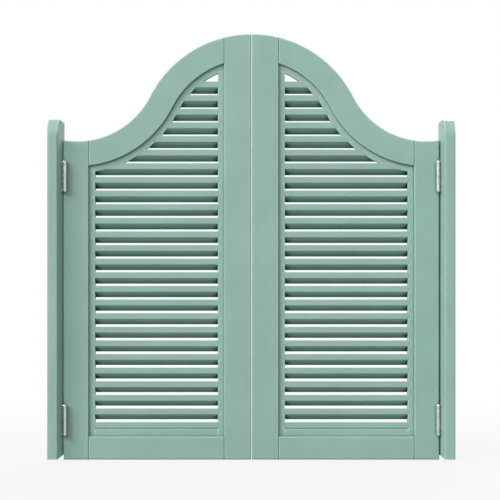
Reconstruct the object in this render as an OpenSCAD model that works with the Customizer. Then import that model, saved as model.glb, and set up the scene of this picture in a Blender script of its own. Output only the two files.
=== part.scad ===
// Pair of louvred saloon doors on double-action spring hinges, with their two jamb posts.
// Millimetres. +Z is up, the front faces -Y, X = 0 is the line where the two leaves meet
// and Z = 0 is the bottom of the leaves.

/* [Leaf outline] */
// Width of one leaf
leaf_w = 432; // [380:1:520]
// Thickness of the stiles and rails
leaf_t = 28; // [24:1:36]
// Height of the leaf where the two leaves meet
apex_h = 980; // [900:1:1200]
// Lowest height of the top edge, near the hinge stile
shoulder_h = 733; // [600:1:760]
// Radius of the hollow curve over the shoulder
sweep_r = 190; // [140:1:230]
// Distance from the lowest point of the top edge to the hinge edge
shoulder_run = 30; // [10:1:50]
// Gap between the two leaves
centre_gap = 1.5; // [1:0.5:5]

/* [Leaf joinery] */
// Width of the stile on the hinge side
hinge_stile_w = 57.5; // [50:0.5:75]
// Width of the stile on the meeting side
meeting_stile_w = 62; // [50:0.5:80]
// Width of the curved top rail, square to its edge
top_rail_w = 57.5; // [45:0.5:75]
// Height of the bottom rail
bottom_rail_h = 53; // [45:0.5:90]
// Bevel on the long edges of the stiles, rails and sill
arris = 1.4; // [0.5:0.1:3]
// How far the meeting edge falls back at the faces, so that both leaves can swing at once
meeting_round = 0.9; // [0.3:0.1:2]
// Radius of the dowels that join rails to stiles
dowel_r = 4; // [3:0.5:6]
// Length of a dowel
dowel_len = 44; // [30:1:60]
// Distance between the two dowels of a joint
dowel_pitch = 28; // [20:1:32]
// Play around a dowel
dowel_play = 0.05; // [0.02:0.01:0.2]
// Room left past each end of a dowel
dowel_end_room = 1; // [0.5:0.5:3]

/* [Louvres] */
// Depth from the leaf face to the louvre panel
recess = 6; // [3:0.5:8]
// Width of the border strips around the louvres
border_w = 14.5; // [11:0.5:20]
// Height of the sill strip at its front
sill_h = 19.4; // [17:0.2:30]
// Distance from one slat to the next
slat_pitch = 31.44; // [26:0.02:40]
// Height of a slat's front edge
slat_face = 13.5; // [9:0.5:18]
// How far a slat falls from front to back
slat_drop = 13; // [6:0.5:14]
// Depth of the housings that take the slat ends
housing = 5; // [3:0.5:8]
// Play of a slat in its housing
slat_play = 0.1; // [0.05:0.05:0.3]

/* [Posts] */
// Thickness of a post, across the opening
post_t = 24; // [20:1:45]
// How far a post stands above the lowest part of the top edge
post_over = 46; // [10:1:150]
// Height of the bottom of a post above the bottom of the leaves
post_rise = 9; // [0:1:30]
// How far a post stands in front of the leaf
front_reveal = 70; // [40:1:90]
// How far a post reaches past the back hinge barrel
back_margin = 0.5; // [0.5:0.5:10]
// Radius of the rounded top at the front of a post
post_nose = 42; // [10:1:50]
// Radius of the long edges of a post
post_edge_r = 3; // [1:0.5:6]
// Radius of a wall screw hole
fixing_r = 3; // [2:0.25:4]
// Radius of the sunk mouth of a wall screw hole
fixing_sink_r = 6; // [5:0.5:8]
// Distance from the front of the post to the wall screw holes
fixing_set = 32; // [20:1:45]
// Height of the lower wall screw hole
fixing_low = 150; // [60:1:200]
// Height between the two wall screw holes
fixing_pitch = 450; // [300:1:500]

/* [Hinges] */
// Overall length of a hinge barrel with its domed ends
barrel_len = 75; // [65:1:95]
// Outer radius of a hinge barrel
barrel_r = 5.5; // [5.2:0.1:7]
// Wall of the rolled barrel
barrel_wall = 1.1; // [0.8:0.1:1.4]
// Distance from the lowest part of the top edge down to the upper hinge centre
upper_hinge_drop = 81; // [75:1:170]
// Height of the lower hinge centre
lower_hinge_z = 92; // [90:1:180]
// Gap between the post and the edge of the leaf
hinge_gap = 3; // [2.6:0.1:5]
// Thickness of the two flanges
flange_t = 2; // [1.5:0.1:2.5]
// Thickness of the centre web
web_t = 1.8; // [1.4:0.1:2]
// Gap between a barrel and the post
post_clear = 0.4; // [0.3:0.1:1]
// Gap between a barrel and the face of the leaf
face_clear = 0.6; // [0.4:0.1:2]
// Height of a flange knuckle
knuckle_h = 6; // [4:0.5:9]
// Gap between a knuckle and the barrel that turns on it
knuckle_clear = 0.3; // [0.2:0.1:0.6]
// Height of the domed end of a pin
dome_h = 4; // [2:0.5:5]
// Radius of a hinge pin
pin_r = 2.2; // [1.8:0.1:2.4]
// Running clearance around a pin
pin_play = 0.05; // [0.02:0.01:0.1]
// Length of a barrel bush
bush_len = 4; // [3:0.5:8]
// Play of a bush in the barrel
bush_play = 0.03; // [0.01:0.01:0.1]
// Radius of the spring wire
wire_r = 0.55; // [0.4:0.05:0.6]
// Turns of a spring
spring_turns = 9; // [6:1:12]
// Play between a flange and its mortise
mortise_play = 0.15; // [0.05:0.05:0.4]
// Bare wood left beside the far edge of a flange
flange_margin = 3; // [2:0.5:6]

/* [Screws] */
// Radius of a screw shank
screw_r = 1.7; // [1.2:0.1:2]
// Radius of a screw head
screw_head_r = 3.3; // [2.8:0.1:3.6]
// Height of the sunk cone of a screw head
screw_head_h = 1.6; // [1.2:0.1:1.9]
// Length of a screw
screw_len = 18; // [12:1:20]
// Height from one screw to the next
screw_pitch = 21; // [15:1:24]
// Distance of the middle screw from the line of the outer two
screw_stagger = 8; // [4:1:10]
// Play around a screw
screw_play = 0.05; // [0.02:0.01:0.1]

/* [Hidden] */
$fn = 64;
LEFT = -1;
RIGHT = 1;
over = 1;

sage = [0.57, 0.70, 0.67];
sage_slat = [0.60, 0.73, 0.69];
beech = [0.80, 0.66, 0.46];
silver = [0.78, 0.78, 0.77];
spring_steel = [0.45, 0.45, 0.46];
bush_white = [0.90, 0.89, 0.85];

// Places across the left leaf, all on the negative side of X
leaf_in = -centre_gap / 2;
leaf_out = leaf_in - leaf_w;
meeting_in = leaf_in - meeting_stile_w;
hinge_in = leaf_out + hinge_stile_w;
louvre_right = meeting_in - border_w;
louvre_left = hinge_in + border_w;
post_side = leaf_out - hinge_gap;
meeting_edge_r = (leaf_t * leaf_t / 4 + meeting_round * meeting_round) / (2 * meeting_round);

// The top edge: a crown arc and a sweep arc that meet on the line between their centres
rise = apex_h - shoulder_h;
sweep_x = leaf_out + shoulder_run;
centres = (sweep_x * sweep_x + rise * rise) / (2 * rise);
crown_r = centres - sweep_r;
crown_z = apex_h - crown_r;
sweep_z = shoulder_h + sweep_r;
meet_angle = atan2(sweep_z - crown_z, -sweep_x);
meet_z = crown_z + crown_r * sin(meet_angle);
sweep_start = -120;

// Louvre panel
panel_h = leaf_t - 2 * recess;
first_slat = bottom_rail_h + sill_h;
head_inset = top_rail_w + border_w;
slat_inset = head_inset - housing;
slat_room = curve_z(louvre_right, head_inset) - first_slat - slat_face;
slat_count = floor(slat_room / slat_pitch) + 1;
slat_from = louvre_left - housing;
slat_to = louvre_right + housing;
straight_top = curve_z(slat_from, slat_inset);

// Posts
back_reveal = face_clear + 2 * barrel_r + back_margin;
post_top = shoulder_h + post_over;
post_front = -leaf_t / 2 - front_reveal;
post_back = leaf_t / 2 + back_reveal;
leaf_y = -(post_front + post_back) / 2;

// Hinges, measured from the side of the left post and the middle of the leaf's thickness
axis_x = post_clear + barrel_r;
axis_y = leaf_t / 2 + face_clear + barrel_r;
flange_h = barrel_len - 2 * dome_h;
tube_h = flange_h - 2 * knuckle_h - 2 * knuckle_clear;
bore_r = barrel_r - barrel_wall;
web_x = (hinge_gap - web_t) / 2;
flange_end = leaf_t / 2 - flange_margin;
dome_r = (barrel_r * barrel_r + dome_h * dome_h) / (2 * dome_h);
spring_r = (pin_r + bore_r) / 2;
spring_h = tube_h - 2 * bush_len - 4 * wire_r;
spring_sides = 5;
spring_steps = 8;
upper_hinge_z = shoulder_h - upper_hinge_drop;
hinge_heights = [upper_hinge_z, lower_hinge_z];

// Height of the top edge, moved in by inset, at a place on the left leaf
function sweep_curve(x, inset) = sweep_z - sqrt(pow(sweep_r + inset, 2) - pow(x - sweep_x, 2));
function crown_curve(x, inset) = crown_z + sqrt(pow(crown_r - inset, 2) - x * x);
function meet_x(inset) = sweep_x * (crown_r - inset) / centres;
function curve_z(x, inset) = x < meet_x(inset) ? sweep_curve(x, inset) : crown_curve(x, inset);

function slat_z(row) = first_slat + row * slat_pitch;
function is_straight(row) = slat_z(row) + slat_face + slat_play < straight_top;

// Woodwork is drawn lying down, front face up, and mirrored for the right leaf
module woodwork(side) {
    translate([0, leaf_y, 0])
        mirror([side == RIGHT ? 1 : 0, 0, 0])
            rotate([90, 0, 0])
                children();
}

// A hinge is one part, turned half round for the right-hand post
module hardware(side) {
    translate([0, leaf_y, 0])
        rotate([0, 0, side == RIGHT ? 180 : 0])
            translate([post_side, 0, 0])
                children();
}

// Hinge cuts as they lie in the woodwork's own drawing
module cuts_in_wood(side) {
    rotate([-90, 0, 0])
        mirror([side == RIGHT ? 1 : 0, 0, 0])
            rotate([0, 0, side == RIGHT ? 180 : 0])
                translate([post_side, 0, 0])
                    children();
}

// Everything under the top edge of the left leaf, with that edge moved in by inset
module arch_area(inset) {
    difference() {
        polygon([[0, 0], [0, crown_z], [sweep_x, sweep_z], [leaf_out - over, sweep_z], [leaf_out - over, 0]]);
        translate([sweep_x, sweep_z]) circle(sweep_r + inset);
    }
    intersection() {
        translate([0, crown_z]) circle(crown_r - inset);
        translate([sweep_x, 0]) square([-sweep_x, apex_h]);
    }
}

module upright_strip(from_x, to_x, inset, from_z, thick) {
    linear_extrude(thick, center = true)
        intersection() {
            arch_area(inset);
            translate([from_x, from_z]) square([to_x - from_x, apex_h - from_z]);
        }
}

// Section of a stile or rail, with its bevels
module bevelled_section(width) {
    half = leaf_t / 2;
    polygon([
        [arris, -half], [width - arris, -half], [width, arris - half], [width, half - arris],
        [width - arris, half], [arris, half], [0, half - arris], [0, arris - half]
    ]);
}

// A long bar with bevelled edges, along Y
module bevelled_bar(from_x, to_x) {
    rotate([-90, 0, 0])
        linear_extrude(apex_h)
            translate([from_x, 0])
                bevelled_section(to_x - from_x);
}

// The same bar with a slightly rounded edge where the leaves meet
module meeting_bar() {
    rotate([-90, 0, 0])
        linear_extrude(apex_h)
            intersection() {
                translate([meeting_in, 0]) bevelled_section(meeting_stile_w);
                translate([leaf_in - meeting_edge_r, 0]) circle(meeting_edge_r);
            }
}

// Bevel along an arc: side 1 takes the outer edge of a disc, side -1 the edge of a round hollow
module arc_bevel(centre, radius, from_angle, to_angle, side) {
    half = leaf_t / 2;
    for (face = [-1, 1])
        translate(centre)
            rotate([0, 0, from_angle])
                rotate_extrude(angle = to_angle - from_angle)
                    polygon([
                        [radius - side * (arris + over), face * (half + over)],
                        [radius + side * over, face * (half + over)],
                        [radius + side * over, face * (half - arris - over)]
                    ]);
}

module top_edge_bevel() {
    arc_bevel([0, crown_z, 0], crown_r, 90, 180 - meet_angle, 1);
    arc_bevel([sweep_x, sweep_z, 0], sweep_r, sweep_start, -meet_angle, -1);
}

// A strip along the top edge. Both sweeps start from the section where the arcs meet:
// one runs round the crown arc to the middle, the other round the sweep arc past the hinge edge
module arch_band(inset, width) {
    translate([meet_x(0), meet_z, 0])
        rotate([0, 0, 180 - meet_angle]) {
            translate([-crown_r, 0, 0])
                rotate_extrude(angle = meet_angle - 90)
                    translate([crown_r - inset - width, 0])
                        children();
            translate([sweep_r, 0, 0])
                rotate([0, 0, 180])
                    rotate_extrude(angle = sweep_start + meet_angle)
                        translate([sweep_r + inset, 0])
                            children();
        }
}

// Two dowels across the joint at x, around the middle height of the rail
module dowel_pair(x, mid_z, play, room) {
    length = dowel_len + 2 * room;
    for (step = [-0.5, 0.5])
        translate([x - length / 2, mid_z + step * dowel_pitch, 0])
            rotate([0, 90, 0])
                cylinder(r = dowel_r + play, h = length);
}

function rail_mid(x) = (curve_z(x, 0) + curve_z(x, top_rail_w)) / 2;

module leaf_dowels(play, room) {
    dowel_pair(hinge_in, rail_mid(hinge_in), play, room);
    dowel_pair(meeting_in, rail_mid(meeting_in), play, room);
    dowel_pair(hinge_in, bottom_rail_h / 2, play, room);
    dowel_pair(meeting_in, bottom_rail_h / 2, play, room);
}

module hinge_stile(side) {
    color(sage) woodwork(side) difference() {
        intersection() {
            upright_strip(leaf_out, hinge_in, 0, 0, leaf_t);
            bevelled_bar(leaf_out, hinge_in);
        }
        top_edge_bevel();
        leaf_dowels(dowel_play, dowel_end_room);
        cuts_in_wood(side) door_mortises();
        cuts_in_wood(side) door_screw_set(screw_play);
    }
}

module meeting_stile(side) {
    color(sage) woodwork(side) difference() {
        intersection() {
            upright_strip(meeting_in, leaf_in, 0, 0, leaf_t);
            meeting_bar();
        }
        top_edge_bevel();
        leaf_dowels(dowel_play, dowel_end_room);
    }
}

module top_rail(side) {
    color(sage) woodwork(side) difference() {
        intersection() {
            arch_band(0, top_rail_w) bevelled_section(top_rail_w);
            bevelled_bar(hinge_in, meeting_in);
        }
        leaf_dowels(dowel_play, dowel_end_room);
    }
}

module bottom_rail(side) {
    half = leaf_t / 2;
    color(sage) woodwork(side) difference() {
        intersection() {
            bevelled_bar(hinge_in, meeting_in);
            translate([hinge_in, 0, 0])
                rotate([0, 90, 0])
                    linear_extrude(meeting_in - hinge_in)
                        polygon([
                            [-half, 0], [half, 0], [half, bottom_rail_h - arris], [half - arris, bottom_rail_h],
                            [arris - half, bottom_rail_h], [-half, bottom_rail_h - arris]
                        ]);
        }
        leaf_dowels(dowel_play, dowel_end_room);
    }
}

// One slat as a sloping bar: upright front edge, falling towards the back
module slat_bar(row, from_x, to_x, play) {
    front = -panel_h / 2 - play;
    back = panel_h / 2 + play;
    low = slat_z(row) - play;
    high = slat_z(row) + slat_face + play;
    translate([from_x, 0, 0])
        rotate([0, 90, 0])
            linear_extrude(to_x - from_x)
                polygon([[front, low], [front, high], [back, high - slat_drop], [back, low - slat_drop]]);
}

module slat(row, play) {
    if (is_straight(row))
        slat_bar(row, slat_from - play, slat_to + play, play);
    else
        intersection() {
            slat_bar(row, slat_from - play, slat_to + play, play);
            upright_strip(slat_from - play, slat_to + play, slat_inset - play, 0, panel_h + 2 * over);
        }
}

module slat_housings() {
    for (row = [0 : slat_count - 1])
        slat(row, slat_play);
}

module hinge_border(side) {
    color(sage) woodwork(side) difference() {
        upright_strip(hinge_in, louvre_left, head_inset, bottom_rail_h, panel_h);
        slat_housings();
    }
}

module meeting_border(side) {
    color(sage) woodwork(side) difference() {
        upright_strip(louvre_right, meeting_in, head_inset, bottom_rail_h, panel_h);
        slat_housings();
    }
}

module head_border(side) {
    color(sage) woodwork(side) difference() {
        intersection() {
            arch_band(top_rail_w, border_w)
                translate([0, -panel_h / 2]) square([border_w, panel_h]);
            translate([hinge_in, 0, -panel_h])
                cube([meeting_in - hinge_in, apex_h, 2 * panel_h]);
        }
        slat_housings();
    }
}

// The lowest slat lies on the sloping top of the sill, behind a bevel that marks the joint
module sill(side) {
    half = panel_h / 2;
    bevel_z = first_slat - arris * slat_drop / panel_h;
    color(sage) woodwork(side)
        translate([louvre_left, 0, 0])
            rotate([0, 90, 0])
                linear_extrude(louvre_right - louvre_left)
                    polygon([
                        [-half, bottom_rail_h], [half, bottom_rail_h], [half, first_slat - slat_drop],
                        [arris - half, bevel_z], [-half, bevel_z - arris]
                    ]);
}

module slats(side) {
    color(sage_slat) woodwork(side)
        for (row = [0 : slat_count - 1])
            if (is_straight(row))
                slat(row, 0);
}

module arch_slats(side) {
    color(sage_slat) woodwork(side)
        for (row = [0 : slat_count - 1])
            if (!is_straight(row))
                slat(row, 0);
}

module dowels(side) {
    color(beech) woodwork(side) leaf_dowels(0, 0);
}

// Outline with all four corners rounded
module rounded_area(size, radius) {
    translate([radius, 0]) square([size.x - 2 * radius, size.y]);
    translate([0, radius]) square([size.x, size.y - 2 * radius]);
    for (x = [radius, size.x - radius], y = [radius, size.y - radius])
        translate([x, y]) circle(radius);
}

// Side of a post: square at the foot, rounded at the top of its front edge
module post_profile() {
    translate([post_front, post_rise])
        square([post_back - post_front, post_top - post_nose - post_rise]);
    translate([post_front + post_nose, post_rise])
        square([post_back - post_front - post_nose, post_top - post_rise]);
    translate([post_front + post_nose, post_top - post_nose])
        circle(post_nose);
}

module fixing_holes() {
    for (z = [fixing_low, fixing_low + fixing_pitch])
        translate([-post_t - over, post_front + fixing_set, z])
            rotate([0, 90, 0]) {
                cylinder(r = fixing_r, h = post_t + 2 * over);
                translate([0, 0, post_t + over - fixing_sink_r + fixing_r])
                    cylinder(r1 = fixing_r, r2 = fixing_sink_r + over, h = fixing_sink_r - fixing_r + over);
            }
}

module post(side) {
    color(sage) difference() {
        translate([0, leaf_y, 0])
            mirror([side == RIGHT ? 1 : 0, 0, 0])
                translate([post_side, 0, 0])
                    difference() {
                        intersection() {
                            translate([-post_t, 0, 0])
                                rotate([90, 0, 90])
                                    linear_extrude(post_t)
                                        post_profile();
                            translate([-post_t, post_front, post_rise])
                                linear_extrude(post_top)
                                    rounded_area([post_t, post_back - post_front], post_edge_r);
                        }
                        fixing_holes();
                    }
        hardware(side) jamb_mortises();
        hardware(side) jamb_screw_set(screw_play);
    }
}

module at_hinges() {
    for (z = hinge_heights)
        translate([0, 0, z])
            children();
}

module block(from, to) {
    translate(from) cube(to - from);
}

module jamb_mortises() {
    at_hinges()
        block([-flange_t, -axis_y - barrel_r / 2 - mortise_play, -flange_h / 2 - mortise_play],
            [over, flange_end + mortise_play, flange_h / 2 + mortise_play]);
}

module door_mortises() {
    at_hinges()
        block([hinge_gap - over, -flange_end - mortise_play, -flange_h / 2 - mortise_play],
            [hinge_gap + flange_t, leaf_t / 2 + over, flange_h / 2 + mortise_play]);
}

// The two knuckles of a flange, bored for the pin
module knuckles(y) {
    for (end = [-1, 1])
        translate([axis_x, y, end * (flange_h - knuckle_h) / 2])
            cylinder(r = barrel_r, h = knuckle_h, center = true);
}

module pin_hole(y) {
    translate([axis_x, y, 0])
        cylinder(r = pin_r + pin_play, h = barrel_len, center = true);
}

// A sunk-head screw driven along -X, with its head at X = 0
module wood_screw(play) {
    rotate([0, -90, 0]) {
        cylinder(r = screw_r + play, h = screw_len - screw_r + play);
        cylinder(r1 = screw_head_r + play, r2 = screw_r + play, h = screw_head_h);
        translate([0, 0, screw_len - screw_r + play])
            cylinder(r1 = screw_r + play, r2 = 0, h = screw_r + play);
    }
}

// Three screws to a flange, the middle one set to one side
module screw_trio(play) {
    for (step = [-1, 0, 1])
        translate([0, (step == 0 ? 1 : 0) * screw_stagger - screw_stagger / 2, step * screw_pitch])
            wood_screw(play);
}

module jamb_screw_set(play) {
    at_hinges() screw_trio(play);
}

module door_screw_set(play) {
    at_hinges()
        translate([hinge_gap, 0, 0])
            mirror([1, 0, 0])
                screw_trio(play);
}

module jamb_flange(side, z) {
    color(silver) hardware(side) translate([0, 0, z]) difference() {
        union() {
            block([-flange_t, -axis_y - barrel_r / 2, -flange_h / 2], [0, flange_end, flange_h / 2]);
            for (end = [-1, 1])
                translate([axis_x / 2 - flange_t / 2, -axis_y, end * (flange_h - knuckle_h) / 2])
                    cube([axis_x + flange_t, barrel_r, knuckle_h], center = true);
            knuckles(-axis_y);
        }
        pin_hole(-axis_y);
        screw_trio(screw_play);
    }
}

module door_flange(side, z) {
    color(silver) hardware(side) translate([0, 0, z]) difference() {
        union() {
            block([hinge_gap, -flange_end, -flange_h / 2], [hinge_gap + flange_t, leaf_t / 2, flange_h / 2]);
            for (end = [-1, 1])
                translate([hinge_gap, 0, end * (flange_h - knuckle_h) / 2 - knuckle_h / 2])
                    cube([flange_t, axis_y, knuckle_h]);
            knuckles(axis_y);
        }
        pin_hole(axis_y);
        translate([hinge_gap, 0, 0]) mirror([1, 0, 0]) screw_trio(screw_play);
    }
}

// One sheet rolled into a barrel along both edges
module centre_web(side, z) {
    color(silver) hardware(side) translate([0, 0, z]) difference() {
        union() {
            translate([web_x, -axis_y, -tube_h / 2]) cube([web_t, 2 * axis_y, tube_h]);
            for (y = [-axis_y, axis_y])
                translate([axis_x, y, 0]) cylinder(r = barrel_r, h = tube_h, center = true);
        }
        for (y = [-axis_y, axis_y])
            translate([axis_x, y, 0]) cylinder(r = bore_r, h = tube_h + over, center = true);
    }
}

// A pin with a dome at each end, seated on the knuckles
module hinge_pin(side, y, z) {
    color(silver) hardware(side) translate([axis_x, y, z]) {
        cylinder(r = pin_r, h = flange_h, center = true);
        for (end = [0, 1])
            mirror([0, 0, end])
                intersection() {
                    translate([0, 0, flange_h / 2 + dome_h - dome_r]) sphere(dome_r);
                    translate([0, 0, flange_h / 2]) cylinder(r = barrel_r, h = dome_h + over);
                }
    }
}

module jamb_pin(side, z) {
    hinge_pin(side, -axis_y, z);
}

module door_pin(side, z) {
    hinge_pin(side, axis_y, z);
}

module bushes(side) {
    color(bush_white) hardware(side) at_hinges()
        for (y = [-axis_y, axis_y], end = [-1, 1])
            translate([axis_x, y, end * (tube_h - bush_len) / 2])
                difference() {
                    cylinder(r = bore_r - bush_play, h = bush_len, center = true);
                    cylinder(r = pin_r + pin_play, h = bush_len + over, center = true);
                }
}

// A coil swept as rings of points along a helix
module coil() {
    steps = spring_turns * spring_steps;
    rings = [
        for (i = [0 : steps])
            let (turn = 360 * i / spring_steps, rise_z = spring_h * (i / steps - 0.5))
            for (j = [0 : spring_sides - 1])
                let (around = 360 * j / spring_sides, reach = spring_r + wire_r * cos(around))
                [reach * cos(turn), reach * sin(turn), rise_z + wire_r * sin(around)]
    ];
    walls = [
        for (i = [0 : steps - 1], j = [0 : spring_sides - 1])
            let (a = i * spring_sides + j, b = i * spring_sides + (j + 1) % spring_sides)
            each [[a, a + spring_sides, b + spring_sides], [a, b + spring_sides, b]]
    ];
    first_end = [for (j = [0 : spring_sides - 1]) j];
    last_end = [for (j = [spring_sides - 1 : -1 : 0]) steps * spring_sides + j];
    polyhedron(rings, concat([first_end], walls, [last_end]));
}

module springs(side, z) {
    color(spring_steel) hardware(side)
        for (y = [-axis_y, axis_y])
            translate([axis_x, y, z])
                coil();
}

module jamb_screws(side) {
    color(silver) hardware(side) jamb_screw_set(0);
}

module door_screws(side) {
    color(silver) hardware(side) door_screw_set(0);
}

post(LEFT);  // left_post
hinge_stile(LEFT);  // left_hinge_stile
meeting_stile(LEFT);  // left_meeting_stile
top_rail(LEFT);  // left_top_rail
bottom_rail(LEFT);  // left_bottom_rail
hinge_border(LEFT);  // left_hinge_border
meeting_border(LEFT);  // left_meeting_border
head_border(LEFT);  // left_head_border
sill(LEFT);  // left_sill
slats(LEFT);  // left_slats
arch_slats(LEFT);  // left_arch_slats
dowels(LEFT);  // left_dowels
jamb_flange(LEFT, upper_hinge_z);  // left_upper_jamb_flange
jamb_flange(LEFT, lower_hinge_z);  // left_lower_jamb_flange
centre_web(LEFT, upper_hinge_z);  // left_upper_centre_web
centre_web(LEFT, lower_hinge_z);  // left_lower_centre_web
door_flange(LEFT, upper_hinge_z);  // left_upper_door_flange
door_flange(LEFT, lower_hinge_z);  // left_lower_door_flange
jamb_pin(LEFT, upper_hinge_z);  // left_upper_jamb_pin
jamb_pin(LEFT, lower_hinge_z);  // left_lower_jamb_pin
door_pin(LEFT, upper_hinge_z);  // left_upper_door_pin
door_pin(LEFT, lower_hinge_z);  // left_lower_door_pin
springs(LEFT, upper_hinge_z);  // left_upper_springs
springs(LEFT, lower_hinge_z);  // left_lower_springs
bushes(LEFT);  // left_bushes
jamb_screws(LEFT);  // left_jamb_screws
door_screws(LEFT);  // left_door_screws
post(RIGHT);  // right_post
hinge_stile(RIGHT);  // right_hinge_stile
meeting_stile(RIGHT);  // right_meeting_stile
top_rail(RIGHT);  // right_top_rail
bottom_rail(RIGHT);  // right_bottom_rail
hinge_border(RIGHT);  // right_hinge_border
meeting_border(RIGHT);  // right_meeting_border
head_border(RIGHT);  // right_head_border
sill(RIGHT);  // right_sill
slats(RIGHT);  // right_slats
arch_slats(RIGHT);  // right_arch_slats
dowels(RIGHT);  // right_dowels
jamb_flange(RIGHT, upper_hinge_z);  // right_upper_jamb_flange
jamb_flange(RIGHT, lower_hinge_z);  // right_lower_jamb_flange
centre_web(RIGHT, upper_hinge_z);  // right_upper_centre_web
centre_web(RIGHT, lower_hinge_z);  // right_lower_centre_web
door_flange(RIGHT, upper_hinge_z);  // right_upper_door_flange
door_flange(RIGHT, lower_hinge_z);  // right_lower_door_flange
jamb_pin(RIGHT, upper_hinge_z);  // right_upper_jamb_pin
jamb_pin(RIGHT, lower_hinge_z);  // right_lower_jamb_pin
door_pin(RIGHT, upper_hinge_z);  // right_upper_door_pin
door_pin(RIGHT, lower_hinge_z);  // right_lower_door_pin
springs(RIGHT, upper_hinge_z);  // right_upper_springs
springs(RIGHT, lower_hinge_z);  // right_lower_springs
bushes(RIGHT);  // right_bushes
jamb_screws(RIGHT);  // right_jamb_screws
door_screws(RIGHT);  // right_door_screws
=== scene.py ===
"""Looks of a pair of louvred saloon doors: satin sage paint on wood, satin nickel spring hinges.

Metres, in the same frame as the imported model: +Z up, the front faces -Y.
"""

import math
from typing import NamedTuple

import bpy
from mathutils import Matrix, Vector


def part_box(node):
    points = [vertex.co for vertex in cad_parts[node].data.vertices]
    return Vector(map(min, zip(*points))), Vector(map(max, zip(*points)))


# The photograph's frame and what was measured in it, in pixels
FRAME_PX = 500
VANISH_PX = (258.0, 291.0)
CENTRE_LINE_PX = 251.4
LEAF_BOTTOM_PX = 459.6

# Metres on the face of the leaves for each pixel, and the camera's distance from that face
METRES_PER_PX = 0.002303
CAMERA_DISTANCE = 3.0
SENSOR_MM = 36.0

# Linear colours
SAGE = (0.288, 0.457, 0.422)
SAGE_SLAT = (0.296, 0.467, 0.430)
# Painted shade: the three darker sages below are mixed into the paint in corners, recesses and under and
# between the slats
SAGE_SHADE_IN_CREVICES = (0.032, 0.118, 0.080)
SAGE_SHADE_UNDER_SLATS = (0.090, 0.330, 0.205)
SAGE_SHADE_BETWEEN_SLATS = (0.005, 0.066, 0.048)
BEECH = (0.60, 0.40, 0.19)
NICKEL = (0.63, 0.64, 0.62)
SPRING_WIRE = (0.20, 0.20, 0.21)
ZINC = (0.55, 0.56, 0.57)
NYLON = (0.80, 0.78, 0.72)
FLOOR_PALE = (0.37, 0.34, 0.27)

# The stage. The floor lies just under the leaves, and to the eye it glows towards white with distance
FLOOR_LEVEL = -0.001
FLOOR_HALF_WIDTH = 30.0
FLOOR_ROUGHNESS = 0.9
FLOOR_GLOW = 0.87
FLOOR_FADE_FROM = 0.5
FLOOR_FADE_TO = 1.8
WORLD_STRENGTH = 0.45

# The lamps: place, diameter and watts, all aimed at the middle of the leaves
LAMP_AIM = (0.0, 0.0, 0.5)
KEY_PLACE = (-1.6, -17.6, 16.0)
KEY_SIZE = 9.0
KEY_WATTS = 885.0
SIDE_PLACE = (-11.5, -18.2, 10.3)
SIDE_SIZE = 12.8
SIDE_WATTS = 907.0
WINDOW_PLACE = (-15.4, -8.9, 13.4)
WINDOW_SIZE = 11.0
WINDOW_WATTS = 3790.0
BACK_PLACE = (3.0, 10.5, 7.5)
BACK_SIZE = 6.0
BACK_WATTS = 860.0

# Stretch of the wood's figure along X, Y and Z
UPRIGHT_GRAIN = (1.0, 1.0, 0.05)
LEVEL_GRAIN = (0.05, 1.0, 1.0)
ARCHED_GRAIN = (0.16, 1.0, 0.16)
EVEN = (1.0, 1.0, 1.0)

# Radius at which paint looks rounded off, and how far from an edge it is rubbed lighter, partly as a
# painted highlight
EASED_EDGE = 0.0018
RUB_AND_HIGHLIGHT_EDGE = 0.0065
RUB_AND_HIGHLIGHT_SLAT_EDGE = 0.002

# Rays spent on rounding off an edge, on finding where it is rubbed and painted lighter as a highlight, and
# on finding hollows for the painted shade
EASED_SAMPLES = 6
RUB_AND_HIGHLIGHT_SAMPLES = 8
HOLLOW_SAMPLES = 8

# Below, cells are counts of noise to the metre and a span is the stretch of its values that is used.
# Shades are factors on a colour, and a relief is a depth in metres and a strength
NOISE_SPAN = (0.3, 0.7)

# Painted wood
CLOUD_CELLS = 7.0
CLOUD_SHADES = (0.955, 1.04)
GRAIN_CELLS = 160.0
GRAIN_SPAN = (0.35, 0.75)
GRAIN_SHADE = 0.62
GRAIN_MOST = 0.10
GLOSS_CELLS = 60.0
PAINT_ROUGHNESS = (0.42, 0.56)
PAINT_SPECULAR = 0.20
SKIN_CELLS = 900.0
PAINT_RELIEF = (0.0003, 0.35)
GRAIN_PART = 0.8
SKIN_PART = 0.35

# Rubbed edges with a painted highlight. The lighter paint starts and is full at these cosines of the
# surface's turn and these shares of open air, and it varies in patches
RUB_AND_HIGHLIGHT_TURN = (0.985, 0.90)
RUB_AND_HIGHLIGHT_CELLS = 45.0
RUB_AND_HIGHLIGHT_SPAN = (0.42, 0.62)
RUB_AND_HIGHLIGHT_PATCHES = (0.55, 1.0)
RUB_AND_HIGHLIGHT_OPEN_AIR = (0.75, 0.95)
RUB_AND_HIGHLIGHT_SHADE = 1.42

# Plated steel, with fine lines drawn along Z and clouds in the plating
LINE_STRETCH = (1.0, 1.0, 0.03)
LINE_CELLS = 2600.0
LINE_RELIEF = (0.00005, 0.30)
PLATING_CELLS = 90.0
PLATING_SPAN = (0.35, 0.65)
PLATING_SHADES = (0.90, 1.05)
NICKEL_ROUGHNESS = (0.24, 0.34)
ZINC_ROUGHNESS = (0.28, 0.42)
WIRE_ROUGHNESS = (0.35, 0.50)

# Dowel wood and nylon
DOWEL_GRAIN = (0.06, 1.0, 1.0)
DOWEL_CELLS = 500.0
DOWEL_SHADES = (0.75, 1.15)
DOWEL_ROUGHNESS = 0.65
DOWEL_RELIEF = (0.0001, 0.4)
NYLON_CELLS = 700.0
NYLON_SHADES = (0.94, 1.03)
NYLON_ROUGHNESS = (0.42, 0.55)
NYLON_RELIEF = (0.00003, 0.3)

SIDES = ("left", "right")
HINGES = ("upper", "lower")


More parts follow.
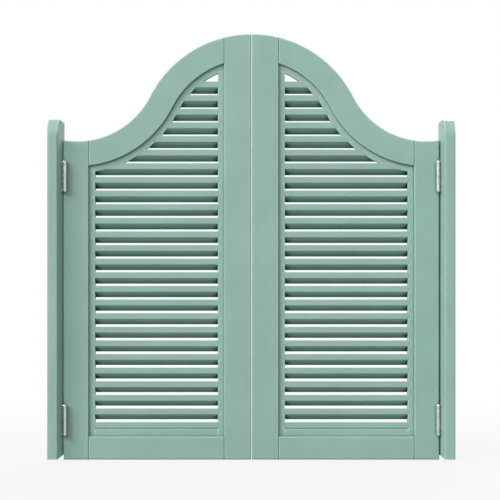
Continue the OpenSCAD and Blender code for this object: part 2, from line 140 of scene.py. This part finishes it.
class PaintedShade(NamedTuple):
    """Painted shade in a hollow: the darker colour painted there, how near the walls have to be, the most
    of that colour that shows, and the share of open surroundings at which it is all there and at which it
    ends."""

    colour: tuple
    reach: float
    most: float
    shut: float = 0.30
    open: float = 0.85


# Painted shade for each kind of piece: in the joints and recess corners of rails, stiles and borders,
# beside the posts, and under and between the slats
RAIL_PAINTED_SHADE = PaintedShade(SAGE_SHADE_IN_CREVICES, reach=0.010, most=0.80)
BORDER_PAINTED_SHADE = PaintedShade(SAGE_SHADE_IN_CREVICES, reach=0.010, most=0.58)
POST_PAINTED_SHADE = PaintedShade(SAGE_SHADE_IN_CREVICES, reach=0.010, most=0.05)
SLAT_UNDERSIDE_SHADE = PaintedShade(SAGE_SHADE_UNDER_SLATS, reach=0.030, most=0.72)
SHADE_DEEP_BETWEEN_SLATS = PaintedShade(SAGE_SHADE_BETWEEN_SLATS, reach=0.016, most=1.0, shut=0.56, open=0.94)


class Nodes:
    """Short names for building one material's node tree."""

    def __init__(self, name):
        self.material = bpy.data.materials.new(name)
        self.material.use_nodes = True
        self.tree = self.material.node_tree
        self.shader = self.tree.nodes["Principled BSDF"]

    def add(self, kind, **settings):
        made = self.tree.nodes.new(kind)
        for key, value in settings.items():
            setattr(made, key, value)
        return made

    def link(self, source, target):
        self.tree.links.new(source, target)

    def object_space(self, stretch):
        """Coordinates fixed to the piece, in metres, scaled along each axis."""
        coordinates = self.add("ShaderNodeTexCoord")
        mapping = self.add("ShaderNodeMapping")
        mapping.inputs["Scale"].default_value = stretch
        self.link(coordinates.outputs["Object"], mapping.inputs["Vector"])
        return mapping.outputs["Vector"]

    def noise(self, vector, scale, detail=3.0, roughness=0.5):
        made = self.add("ShaderNodeTexNoise")
        made.inputs["Scale"].default_value = scale
        made.inputs["Detail"].default_value = detail
        made.inputs["Roughness"].default_value = roughness
        self.link(vector, made.inputs["Vector"])
        return made.outputs["Fac"]

    def remap(self, value, low, high, out_low, out_high):
        made = self.add("ShaderNodeMapRange")
        ends = {"From Min": low, "From Max": high, "To Min": out_low, "To Max": out_high}
        for name, number in ends.items():
            made.inputs[name].default_value = number
        self.link(value, made.inputs["Value"])
        return made.outputs["Result"]

    def math(self, operation, first, second):
        made = self.add("ShaderNodeMath", operation=operation)
        for place, value in enumerate((first, second)):
            if isinstance(value, (int, float)):
                made.inputs[place].default_value = value
            else:
                self.link(value, made.inputs[place])
        return made.outputs["Value"]

    def mix(self, factor, first, second):
        made = self.add("ShaderNodeMix", data_type="RGBA")
        self.link(factor, made.inputs["Factor"])
        for name, value in (("A", first), ("B", second)):
            socket = [s for s in made.inputs if s.name == name and s.type == "RGBA"][0]
            if isinstance(value, tuple):
                socket.default_value = (*value, 1.0)
            else:
                self.link(value, socket)
        return [s for s in made.outputs if s.type == "RGBA"][0]

    def bump(self, height, distance, strength, normal=None):
        made = self.add("ShaderNodeBump")
        made.inputs["Distance"].default_value = distance
        made.inputs["Strength"].default_value = strength
        self.link(height, made.inputs["Height"])
        if normal is not None:
            self.link(normal, made.inputs["Normal"])
        return made.outputs["Normal"]

    def rounded_normal(self, radius, samples):
        """The surface's direction with its edges rounded off."""
        made = self.add("ShaderNodeBevel", samples=samples)
        made.inputs["Radius"].default_value = radius
        return made.outputs["Normal"]

    def open_share(self, reach):
        """How much of the surroundings within reach is open: 1 on a flat face, about half in a corner."""
        made = self.add("ShaderNodeAmbientOcclusion", samples=HOLLOW_SAMPLES)
        made.inputs["Distance"].default_value = reach
        return made.outputs["AO"]


def shade(colour, factor):
    return tuple(channel * factor for channel in colour)


def shades(colour, factors):
    return [shade(colour, factor) for factor in factors]


def seen_rays(tree):
    """1 for what the camera sees, straight or in metal and glass, and 0 for light on the object."""
    path = tree.nodes.new("ShaderNodeLightPath")
    seen = path.outputs["Is Camera Ray"]
    for other in ("Is Glossy Ray", "Is Transmission Ray"):
        either = tree.nodes.new("ShaderNodeMath")
        either.operation = "MAXIMUM"
        tree.links.new(seen, either.inputs[0])
        tree.links.new(path.outputs[other], either.inputs[1])
        seen = either.outputs["Value"]
    return seen


def rubbed_and_highlit_edges(n, width, open_air):
    """Where paint is lighter in patches along the edges that stand in the open: partly rubbed, partly a
    painted highlight.
    """
    facing = n.add("ShaderNodeVectorMath", operation="DOT_PRODUCT")
    n.link(n.rounded_normal(width, RUB_AND_HIGHLIGHT_SAMPLES), facing.inputs[0])
    n.link(n.add("ShaderNodeNewGeometry").outputs["Normal"], facing.inputs[1])
    edge = n.remap(facing.outputs["Value"], *RUB_AND_HIGHLIGHT_TURN, 0.0, 1.0)
    patchy = n.remap(n.noise(n.object_space(EVEN), RUB_AND_HIGHLIGHT_CELLS), *RUB_AND_HIGHLIGHT_SPAN, *RUB_AND_HIGHLIGHT_PATCHES)
    in_the_open = n.remap(open_air, *RUB_AND_HIGHLIGHT_OPEN_AIR, 0.0, 1.0)
    return n.math("MULTIPLY", n.math("MULTIPLY", edge, patchy), in_the_open)


def painted_wood(name, colour, grain, shades_in_hollows, rub_and_highlight_width=RUB_AND_HIGHLIGHT_EDGE):
    """Satin paint over wood that still shows its grain a little."""
    n = Nodes(name)
    plain = n.object_space(EVEN)
    along = n.object_space(grain)

    clouds = n.noise(plain, CLOUD_CELLS, detail=2.0)
    streaks = n.noise(along, GRAIN_CELLS, detail=4.0, roughness=0.6)
    tone = n.mix(n.remap(clouds, *NOISE_SPAN, 0.0, 1.0), *shades(colour, CLOUD_SHADES))
    paint = n.mix(n.remap(streaks, *GRAIN_SPAN, 0.0, GRAIN_MOST), tone, shade(colour, GRAIN_SHADE))

    open_air = [n.open_share(shade_in_hollow.reach) for shade_in_hollow in shades_in_hollows]
    # Painted shade: a darker colour is mixed in where walls close in around the surface, as in corners,
    # recesses and under and between the slats
    for shade_in_hollow, share in zip(shades_in_hollows, open_air):
        paint = n.mix(n.remap(share, shade_in_hollow.shut, shade_in_hollow.open, shade_in_hollow.most, 0.0), paint, shade_in_hollow.colour)
    # Painted highlight: open edges are made lighter in patches, partly as rubbed paint and partly as a
    # highlight painted in
    paint = n.mix(rubbed_and_highlit_edges(n, rub_and_highlight_width, open_air[0]), paint, shade(colour, RUB_AND_HIGHLIGHT_SHADE))
    n.link(paint, n.shader.inputs["Base Color"])

    gloss = n.remap(n.noise(along, GLOSS_CELLS), *NOISE_SPAN, *PAINT_ROUGHNESS)
    n.link(gloss, n.shader.inputs["Roughness"])
    n.shader.inputs["Specular IOR Level"].default_value = PAINT_SPECULAR
    skin = n.noise(plain, SKIN_CELLS, detail=2.0)
    relief = n.math("ADD", n.math("MULTIPLY", streaks, GRAIN_PART), n.math("MULTIPLY", skin, SKIN_PART))
    eased = n.rounded_normal(EASED_EDGE, EASED_SAMPLES)
    n.link(n.bump(relief, *PAINT_RELIEF, eased), n.shader.inputs["Normal"])
    return n.material


def plated_steel(name, colour, roughness):
    """Satin plated steel with fine drawn lines along the barrel."""
    n = Nodes(name)
    lines = n.noise(n.object_space(LINE_STRETCH), LINE_CELLS, detail=2.0)
    cloud = n.noise(n.object_space(EVEN), PLATING_CELLS)
    tint = n.mix(n.remap(cloud, *PLATING_SPAN, 0.0, 1.0), *shades(colour, PLATING_SHADES))
    n.link(tint, n.shader.inputs["Base Color"])
    n.shader.inputs["Metallic"].default_value = 1.0
    n.link(n.remap(cloud, *NOISE_SPAN, *roughness), n.shader.inputs["Roughness"])
    n.link(n.bump(lines, *LINE_RELIEF), n.shader.inputs["Normal"])
    return n.material


def bare_beech(name):
    """Unpainted dowel wood with its grain along X."""
    n = Nodes(name)
    figure = n.noise(n.object_space(DOWEL_GRAIN), DOWEL_CELLS, detail=4.0, roughness=0.6)
    n.link(n.mix(figure, *shades(BEECH, DOWEL_SHADES)), n.shader.inputs["Base Color"])
    n.shader.inputs["Roughness"].default_value = DOWEL_ROUGHNESS
    n.link(n.bump(figure, *DOWEL_RELIEF), n.shader.inputs["Normal"])
    return n.material


def moulded_nylon(name):
    """Off-white nylon with a faint mottle from the mould."""
    n = Nodes(name)
    mottle = n.noise(n.object_space(EVEN), NYLON_CELLS, detail=2.0)
    n.link(n.mix(mottle, *shades(NYLON, NYLON_SHADES)), n.shader.inputs["Base Color"])
    n.link(n.remap(mottle, *NOISE_SPAN, *NYLON_ROUGHNESS), n.shader.inputs["Roughness"])
    n.link(n.bump(mottle, *NYLON_RELIEF), n.shader.inputs["Normal"])
    return n.material


def wood_finishes():
    """The painted pieces of one side and their materials."""
    slat_shades_in_hollows = (SLAT_UNDERSIDE_SHADE, SHADE_DEEP_BETWEEN_SLATS)
    return {
        ("post",): painted_wood("sage_post", SAGE, UPRIGHT_GRAIN, (POST_PAINTED_SHADE,)),
        ("hinge_stile", "meeting_stile"): painted_wood("sage_stile", SAGE, UPRIGHT_GRAIN, (RAIL_PAINTED_SHADE,)),
        ("bottom_rail", "sill"): painted_wood("sage_level", SAGE, LEVEL_GRAIN, (RAIL_PAINTED_SHADE,)),
        ("top_rail",): painted_wood("sage_arched", SAGE, ARCHED_GRAIN, (RAIL_PAINTED_SHADE,)),
        ("hinge_border", "meeting_border"):
            painted_wood("sage_border", SAGE, UPRIGHT_GRAIN, (BORDER_PAINTED_SHADE,)),
        ("head_border",): painted_wood("sage_arched_border", SAGE, ARCHED_GRAIN, (BORDER_PAINTED_SHADE,)),
        ("slats", "arch_slats"):
            painted_wood("sage_slat", SAGE_SLAT, LEVEL_GRAIN, slat_shades_in_hollows, RUB_AND_HIGHLIGHT_SLAT_EDGE),
    }


def hardware_finishes():
    """The hardware of one side and its materials."""
    nickel_pieces = ("jamb_flange", "centre_web", "door_flange", "jamb_pin", "door_pin")
    return {
        ("dowels",): bare_beech("bare_beech"),
        ("bushes",): moulded_nylon("natural_nylon"),
        ("jamb_screws", "door_screws"): plated_steel("zinc_plate", ZINC, ZINC_ROUGHNESS),
        tuple(f"{hinge}_{piece}" for hinge in HINGES for piece in nickel_pieces):
            plated_steel("satin_nickel", NICKEL, NICKEL_ROUGHNESS),
        tuple(f"{hinge}_springs" for hinge in HINGES):
            plated_steel("spring_wire", SPRING_WIRE, WIRE_ROUGHNESS),
    }


def dress_all(nodes):
    """Gives each carried-over node its material."""
    for names, material in (*wood_finishes().items(), *hardware_finishes().items()):
        for node_name in (f"{side}_{name}" for side in SIDES for name in names):
            nodes[node_name].data.materials.clear()
            nodes[node_name].data.materials.append(material)


def add_camera():
    """A level camera whose horizon and vanishing point fall where the photograph has them."""
    face_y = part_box("left_meeting_stile")[0].y
    camera = bpy.data.cameras.new("camera")
    camera.sensor_width = SENSOR_MM
    camera.lens = SENSOR_MM * CAMERA_DISTANCE / METRES_PER_PX / FRAME_PX
    camera.shift_x = (FRAME_PX / 2 - VANISH_PX[0]) / FRAME_PX
    camera.shift_y = (VANISH_PX[1] - FRAME_PX / 2) / FRAME_PX
    holder = bpy.data.objects.new("camera", camera)
    holder.location = (
        (VANISH_PX[0] - CENTRE_LINE_PX) * METRES_PER_PX,
        face_y - CAMERA_DISTANCE,
        (LEAF_BOTTOM_PX - VANISH_PX[1]) * METRES_PER_PX,
    )
    holder.rotation_euler = (math.radians(90.0), 0.0, 0.0)
    bpy.context.scene.collection.objects.link(holder)
    bpy.context.scene.camera = holder


def add_area_light(name, place, size, watts):
    lamp = bpy.data.lights.new(name, "AREA")
    lamp.shape = "DISK"
    lamp.size = size
    lamp.energy = watts
    holder = bpy.data.objects.new(name, lamp)
    holder.location = place
    bpy.context.scene.collection.objects.link(holder)
    target = bpy.data.objects.new(name + "_aim", None)
    target.location = LAMP_AIM
    bpy.context.scene.collection.objects.link(target)
    track = holder.constraints.new("TRACK_TO")
    track.target = target
    track.track_axis = "TRACK_NEGATIVE_Z"
    track.up_axis = "UP_Y"
    return holder


def cast_no_shadow(lamp, pieces):
    """Keeps the pieces from casting a shadow of one lamp's light."""
    passed = bpy.data.collections.new(lamp.name + "_passes")
    for piece in pieces:
        passed.objects.link(piece)
    for item in passed.collection_objects:
        item.light_linking.link_state = "EXCLUDE"
    lamp.light_linking.blocker_collection = passed


def add_lamps(nodes):
    add_area_light("key", KEY_PLACE, KEY_SIZE, KEY_WATTS)
    add_area_light("side", SIDE_PLACE, SIDE_SIZE, SIDE_WATTS)
    window = add_area_light("window", WINDOW_PLACE, WINDOW_SIZE, WINDOW_WATTS)
    cast_no_shadow(window, [nodes[f"{side}_post"] for side in SIDES])
    add_area_light("back", BACK_PLACE, BACK_SIZE, BACK_WATTS)


def add_world():
    """Soft white surroundings; the camera and mirror-like surfaces see plain white."""
    world = bpy.data.worlds.new("studio")
    bpy.context.scene.world = world
    world.use_nodes = True
    tree = world.node_tree
    background = tree.nodes["Background"]
    background.inputs["Color"].default_value = (1.0, 1.0, 1.0, 1.0)
    level = tree.nodes.new("ShaderNodeMapRange")
    level.inputs["To Min"].default_value = WORLD_STRENGTH
    level.inputs["To Max"].default_value = 1.0
    tree.links.new(seen_rays(tree), level.inputs["Value"])
    tree.links.new(level.outputs["Result"], background.inputs["Strength"])


def pale_floor():
    """Matt and pale where light falls on it, and to the eye fading into the white surroundings."""
    n = Nodes("pale_floor")
    n.shader.inputs["Base Color"].default_value = (*FLOOR_PALE, 1.0)
    n.shader.inputs["Roughness"].default_value = FLOOR_ROUGHNESS
    distance = n.add("ShaderNodeVectorMath", operation="LENGTH")
    n.link(n.object_space(EVEN), distance.inputs[0])
    fade = n.remap(distance.outputs["Value"], FLOOR_FADE_FROM, FLOOR_FADE_TO, FLOOR_GLOW, 1.0)
    glow = n.add("ShaderNodeEmission")
    blend = n.add("ShaderNodeMixShader")
    n.link(n.math("MULTIPLY", seen_rays(n.tree), fade), blend.inputs["Fac"])
    n.link(n.shader.outputs["BSDF"], blend.inputs[1])
    n.link(glow.outputs["Emission"], blend.inputs[2])
    n.link(blend.outputs["Shader"], n.tree.nodes["Material Output"].inputs["Surface"])
    return n.material


def add_floor():
    mesh = bpy.data.meshes.new("floor")
    half = FLOOR_HALF_WIDTH
    corners = [(-half, -half, 0.0), (half, -half, 0.0), (half, half, 0.0), (-half, half, 0.0)]
    mesh.from_pydata(corners, [], [(0, 1, 2, 3)])
    mesh.materials.append(pale_floor())
    floor = bpy.data.objects.new("floor", mesh)
    floor.location.z = FLOOR_LEVEL
    bpy.context.scene.collection.objects.link(floor)


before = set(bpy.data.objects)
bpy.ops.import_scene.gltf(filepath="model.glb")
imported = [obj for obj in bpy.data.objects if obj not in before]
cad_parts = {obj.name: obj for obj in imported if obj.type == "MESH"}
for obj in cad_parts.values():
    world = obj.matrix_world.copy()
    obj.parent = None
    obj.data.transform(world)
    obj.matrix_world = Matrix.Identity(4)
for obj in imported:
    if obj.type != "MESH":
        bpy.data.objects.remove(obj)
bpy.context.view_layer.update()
bpy.context.scene.view_settings.view_transform = "Standard"

dress_all(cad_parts)
add_camera()
add_world()
add_floor()
add_lamps(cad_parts)
